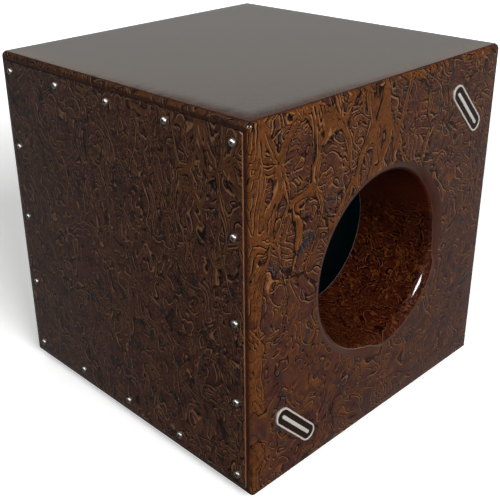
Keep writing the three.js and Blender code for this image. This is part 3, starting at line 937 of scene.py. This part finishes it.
def make_feet():
    """Round feet with a counterbored screw hole and a soft lower edge."""
    for node in sorted(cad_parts):
        if not node.startswith("foot_") or node.startswith("foot_screw"):
            continue
        low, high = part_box(node)
        radius = (high.x - low.x) / 2
        height = high.z - low.z
        profile = [
            (HOLE_RADIUS, height),
            (HOLE_RADIUS, BORE_DEPTH),
            (BORE_RADIUS - 0.4 * MM, BORE_DEPTH),
            (BORE_RADIUS, BORE_DEPTH - 0.4 * MM),
            (BORE_RADIUS, 0.3 * MM),
            (BORE_RADIUS + 0.3 * MM, 0),
            (radius - 1.3 * MM, 0),
            (radius - 0.6 * MM, 0.25 * MM),
            (radius - 0.2 * MM, 1.0 * MM),
            (radius, 2.2 * MM),
            (radius, height - 0.3 * MM),
            (radius - 0.3 * MM, height),
        ]
        bm = turned(profile, FOOT_STEPS, closed=True)
        middle = (low + high) / 2
        bmesh.ops.translate(bm, verts=bm.verts[:], vec=(middle.x, middle.y, low.z))
        foot = finished(node.replace("foot_", "rubber_foot_"), bm, [foot_rubber])
        place(foot, node)


# ---- Badges ----

BADGE_WIDTH = 20 * MM
BADGE_RIM = 2 * MM
BADGE_FIELD_DEPTH = 0.6 * MM
BADGE_BAR_LENGTH = 58 * MM
BADGE_BAR_WIDTH = 4 * MM
BADGE_STEPS = 24  # facets of each half round


def add_pill(bm, length, width, levels):
    """Adds a round-ended bar along X to a bmesh. Levels are (inset, height). Returns its top face."""
    rings = []
    for inset, height in levels:
        radius = width / 2 - inset
        ring = []
        for end in (0, math.pi):
            middle = math.cos(end) * (length - width) / 2
            for step in range(BADGE_STEPS + 1):
                angle = end + math.pi * (step / BADGE_STEPS - 0.5)
                x = middle + radius * math.cos(angle)
                ring.append(bm.verts.new((x, radius * math.sin(angle), height)))
        rings.append(ring)
    return bridge(bm, rings)


def make_badges():
    """Plain round-ended plates with a raised rim, a sunk enamel field and a raised bar."""
    for node in ("badge_upper", "badge_lower"):
        low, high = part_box(node)
        middle = (low + high) / 2
        run, drop = high.y - low.y - BADGE_WIDTH, high.z - low.z - BADGE_WIDTH
        thick = high.x - low.x
        field = thick - BADGE_FIELD_DEPTH
        plate = [
            (0.0, 0.0),
            (0.0, thick - 0.4 * MM),
            (0.12 * MM, thick - 0.12 * MM),
            (0.4 * MM, thick),
            (BADGE_RIM - 0.3 * MM, thick),
            (BADGE_RIM - 0.1 * MM, thick - 0.1 * MM),
            (BADGE_RIM, field),
        ]
        bar = [
            (0.0, field - 0.2 * MM),
            (0.0, thick - 0.25 * MM),
            (0.1 * MM, thick - 0.08 * MM),
            (0.3 * MM, thick),
        ]
        bm = bmesh.new()
        add_pill(bm, math.hypot(run, drop) + BADGE_WIDTH, BADGE_WIDTH, plate).material_index = 1
        add_pill(bm, BADGE_BAR_LENGTH, BADGE_BAR_WIDTH, bar)
        turn = Matrix(((0, 0, 1), (1, 0, 0), (0, 1, 0))) @ Matrix.Rotation(-math.atan2(drop, run), 3, "Z")
        bmesh.ops.transform(bm, verts=bm.verts[:], matrix=turn.to_4x4())
        bmesh.ops.translate(bm, verts=bm.verts[:], vec=(low.x, middle.y, middle.z))
        badge = finished(node.replace("badge", "plain_badge"), bm, [badge_polish, badge_field])
        place(badge, node)


# ---- CAD nodes that stay ----

def finish_inner_parts():
    """Battens, bar and snares keep their CAD shape and get their materials. The rear battens, which show
    through the port, are painted."""
    for name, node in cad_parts.items():
        if node.hide_render:
            continue
        material = bare_wood
        if name.startswith("snare_set"):
            material = snare_wire
        elif "rear_batten" in name:
            material = chamber_paint
        node.data.materials.clear()
        node.data.materials.append(material)


# ---- Camera, floor and light ----

CAMERA_PLACE = (1.6692, -1.6832, 1.5345)  # in box edges, from the middle of the box's underside
CAMERA_AZIMUTH = math.radians(46.84)
CAMERA_ELEVATION = math.radians(24.74)
CAMERA_ROLL = math.radians(-1.267)
CAMERA_LENS = 61.0
CAMERA_SHIFT = (0.057, -0.046)
CAMERA_SENSOR = 36


def make_camera():
    data = bpy.data.cameras.new("camera")
    data.lens = CAMERA_LENS
    data.sensor_width = CAMERA_SENSOR
    data.shift_x, data.shift_y = CAMERA_SHIFT
    data.clip_start = 0.01
    camera = bpy.data.objects.new("camera", data)
    bpy.context.scene.collection.objects.link(camera)
    azimuth, elevation = CAMERA_AZIMUTH, CAMERA_ELEVATION
    back = Vector((math.sin(azimuth) * math.cos(elevation), -math.cos(azimuth) * math.cos(elevation),
                   math.sin(elevation)))
    turn = back.to_track_quat("Z", "Y").to_matrix().to_4x4() @ Matrix.Rotation(CAMERA_ROLL, 4, "Z")
    place_at = Vector(CAMERA_PLACE) * BODY + Vector((0, 0, FLOOR_GAP))
    camera.matrix_world = Matrix.Translation(place_at) @ turn
    bpy.context.scene.camera = camera


def make_floor():
    """A white floor: partly self-lit, so that shadows on it stay light, and left out of reflections."""
    bm = bmesh.new()
    bmesh.ops.create_circle(bm, cap_ends=True, segments=64, radius=30)
    floor = finished("floor", bm, [])
    material, n, shader = new_material("pale_floor")
    shader.inputs["Base Color"].default_value = (0.9, 0.9, 0.9, 1)
    shader.inputs["Roughness"].default_value = 0.9
    shader.inputs["Specular IOR Level"].default_value = 0.0
    shader.inputs["Emission Color"].default_value = (1, 1, 1, 1)
    x, y, _ = n.parts(n.point())
    n.feed(shader.inputs["Emission Strength"], n.step(hypotenuse(n, x, y), 2 * BODY, 5 * BODY, 0.42, 1.0))
    floor.data.materials.append(material)
    floor.visible_glossy = False
    floor.visible_diffuse = False
    floor.visible_shadow = False


# The backdrop's colour by the Z of the direction, from straight down, -1, to straight up, 1.
HORIZON = [
    (-1.00, (0.9, 0.9, 0.9)),
    (-0.10, (0.9, 0.9, 0.9)),
    (0.05, (0.34, 0.34, 0.34)),
    (0.17, (0.40, 0.40, 0.39)),
    (0.25, (0.56, 0.54, 0.50)),
    (0.31, (0.64, 0.61, 0.56)),
    (0.34, (0.52, 0.49, 0.45)),
    (0.38, (0.26, 0.25, 0.23)),
    (0.43, (0.12, 0.11, 0.11)),
    (1.00, (0.08, 0.08, 0.08)),
]
BACKDROP_AZIMUTH = math.radians(137)  # from +X: what the camera sees behind the box
BACKDROP_FULL = math.radians(25)  # how far to each side it is at full strength
BACKDROP_END = math.radians(50)


def make_world():
    """White to the camera. The object sees a pale backdrop with a soft band of light behind it, and elsewhere
    a dim room whose floor brightens to the sides."""
    world = bpy.data.worlds.new("studio")
    world.use_nodes = True
    bpy.context.scene.world = world
    n = Nodes(world.node_tree)
    x, y, z = n.parts(n.add("ShaderNodeTexCoord", "Generated"))
    level = n.math("SQRT", n.math("ADD", n.math("MULTIPLY", x, x), n.math("MULTIPLY_ADD", y, y, 0.0001)))
    sideways = n.math("DIVIDE", n.math("MAXIMUM", y, n.math("MULTIPLY", x, -1.0)), level)
    glow = n.math("MULTIPLY", n.step(z, 0.08, -0.08), n.step(sideways, 0.74, 0.94))
    room = n.mix(glow, (0.05, 0.05, 0.05, 1), (0.16, 0.16, 0.16, 1))
    stops = [((height + 1) / 2, (*colour, 1)) for height, colour in HORIZON]
    backdrop = n.ramp(n.math("MULTIPLY_ADD", z, 0.5, 0.5), stops)
    along = n.math("ADD", n.math("MULTIPLY", x, math.cos(BACKDROP_AZIMUTH)),
                   n.math("MULTIPLY", y, math.sin(BACKDROP_AZIMUTH)))
    behind = n.step(n.math("DIVIDE", along, level), math.cos(BACKDROP_END), math.cos(BACKDROP_FULL))
    room = n.mix(behind, room, backdrop)
    seen = n.mix(n.add("ShaderNodeLightPath", "Is Camera Ray"), room, (1, 1, 1, 1))
    n.feed(world.node_tree.nodes["Background"].inputs["Color"], seen)


# Name, azimuth from +X and elevation in degrees, distance from the box's middle, edge, watts, and what it
# shows on: matt surfaces, or gloss and metal.
LIGHTS = [
    ("main_softbox", -14, 28, 6, 2.7, 450, "matt"),
    ("rear_fill", 150, 20, 6, 2.7, 90, "matt"),
    ("key_softbox", -33, 29, 1.7, 0.5, 26, "gloss"),
    ("glint_softbox", -100, 30, 1.7, 1.0, 30, "gloss"),
    ("chamber_light", -90, 30, 0.1, 0.05, 0.04, "matt"),
]


def make_light(name, azimuth, elevation, distance, edge, power, shows_on):
    """A square light aimed at the box's middle."""
    data = bpy.data.lights.new(name, "AREA")
    data.size = edge
    data.energy = power
    light = bpy.data.objects.new(name, data)
    bpy.context.scene.collection.objects.link(light)
    a, e = math.radians(azimuth), math.radians(elevation)
    away = Vector((math.cos(a) * math.cos(e), math.sin(a) * math.cos(e), math.sin(e)))
    turn = away.to_track_quat("Z", "Y").to_matrix().to_4x4()
    light.matrix_world = Matrix.Translation(MIDDLE + away * distance) @ turn
    light.visible_camera = False
    light.visible_diffuse = shows_on == "matt"
    light.visible_glossy = shows_on == "gloss"


make_camera()
make_boards()
make_horn()
make_ring()
make_tapa()
make_screws()
make_feet()
make_badges()
finish_inner_parts()
make_floor()
make_world()
for light in LIGHTS:
    make_light(*light)
bpy.context.scene.view_settings.view_transform = "Standard"
